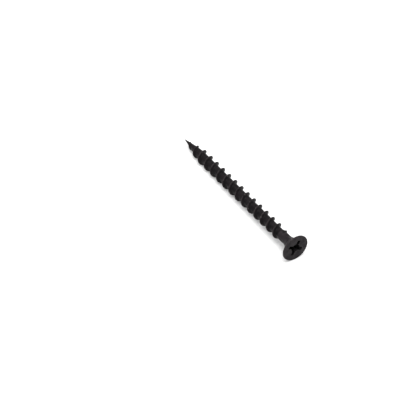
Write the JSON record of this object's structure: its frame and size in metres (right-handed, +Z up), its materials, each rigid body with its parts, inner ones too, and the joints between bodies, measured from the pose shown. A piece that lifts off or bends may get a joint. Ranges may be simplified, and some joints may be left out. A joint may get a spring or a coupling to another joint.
{
  "type": "wood screw",
  "caption": "Bugle-head wood screw with a cross recess, coarse right-hand thread and sharp gimlet point, black phosphate finish.",
  "frame": {"origin": "middle of the flat top of the head, on the screw's own axis; the head top is flush with the surface of the work when the screw is driven home", "axes": "+X along the screw's axis from the point to the head, out of the drive recess; the point is at x = -55 mm; +Z is up when the screw is held level"},
  "size_m": [0.055, 0.0084, 0.0084],
  "materials": {
    "black_phosphate": "matt black phosphate on hardened carbon steel, with a light film of oil and worn thread crests"
  },
  "bodies": {
    "root": {"wood_screw": "black_phosphate"}
  },
  "joints": []
}
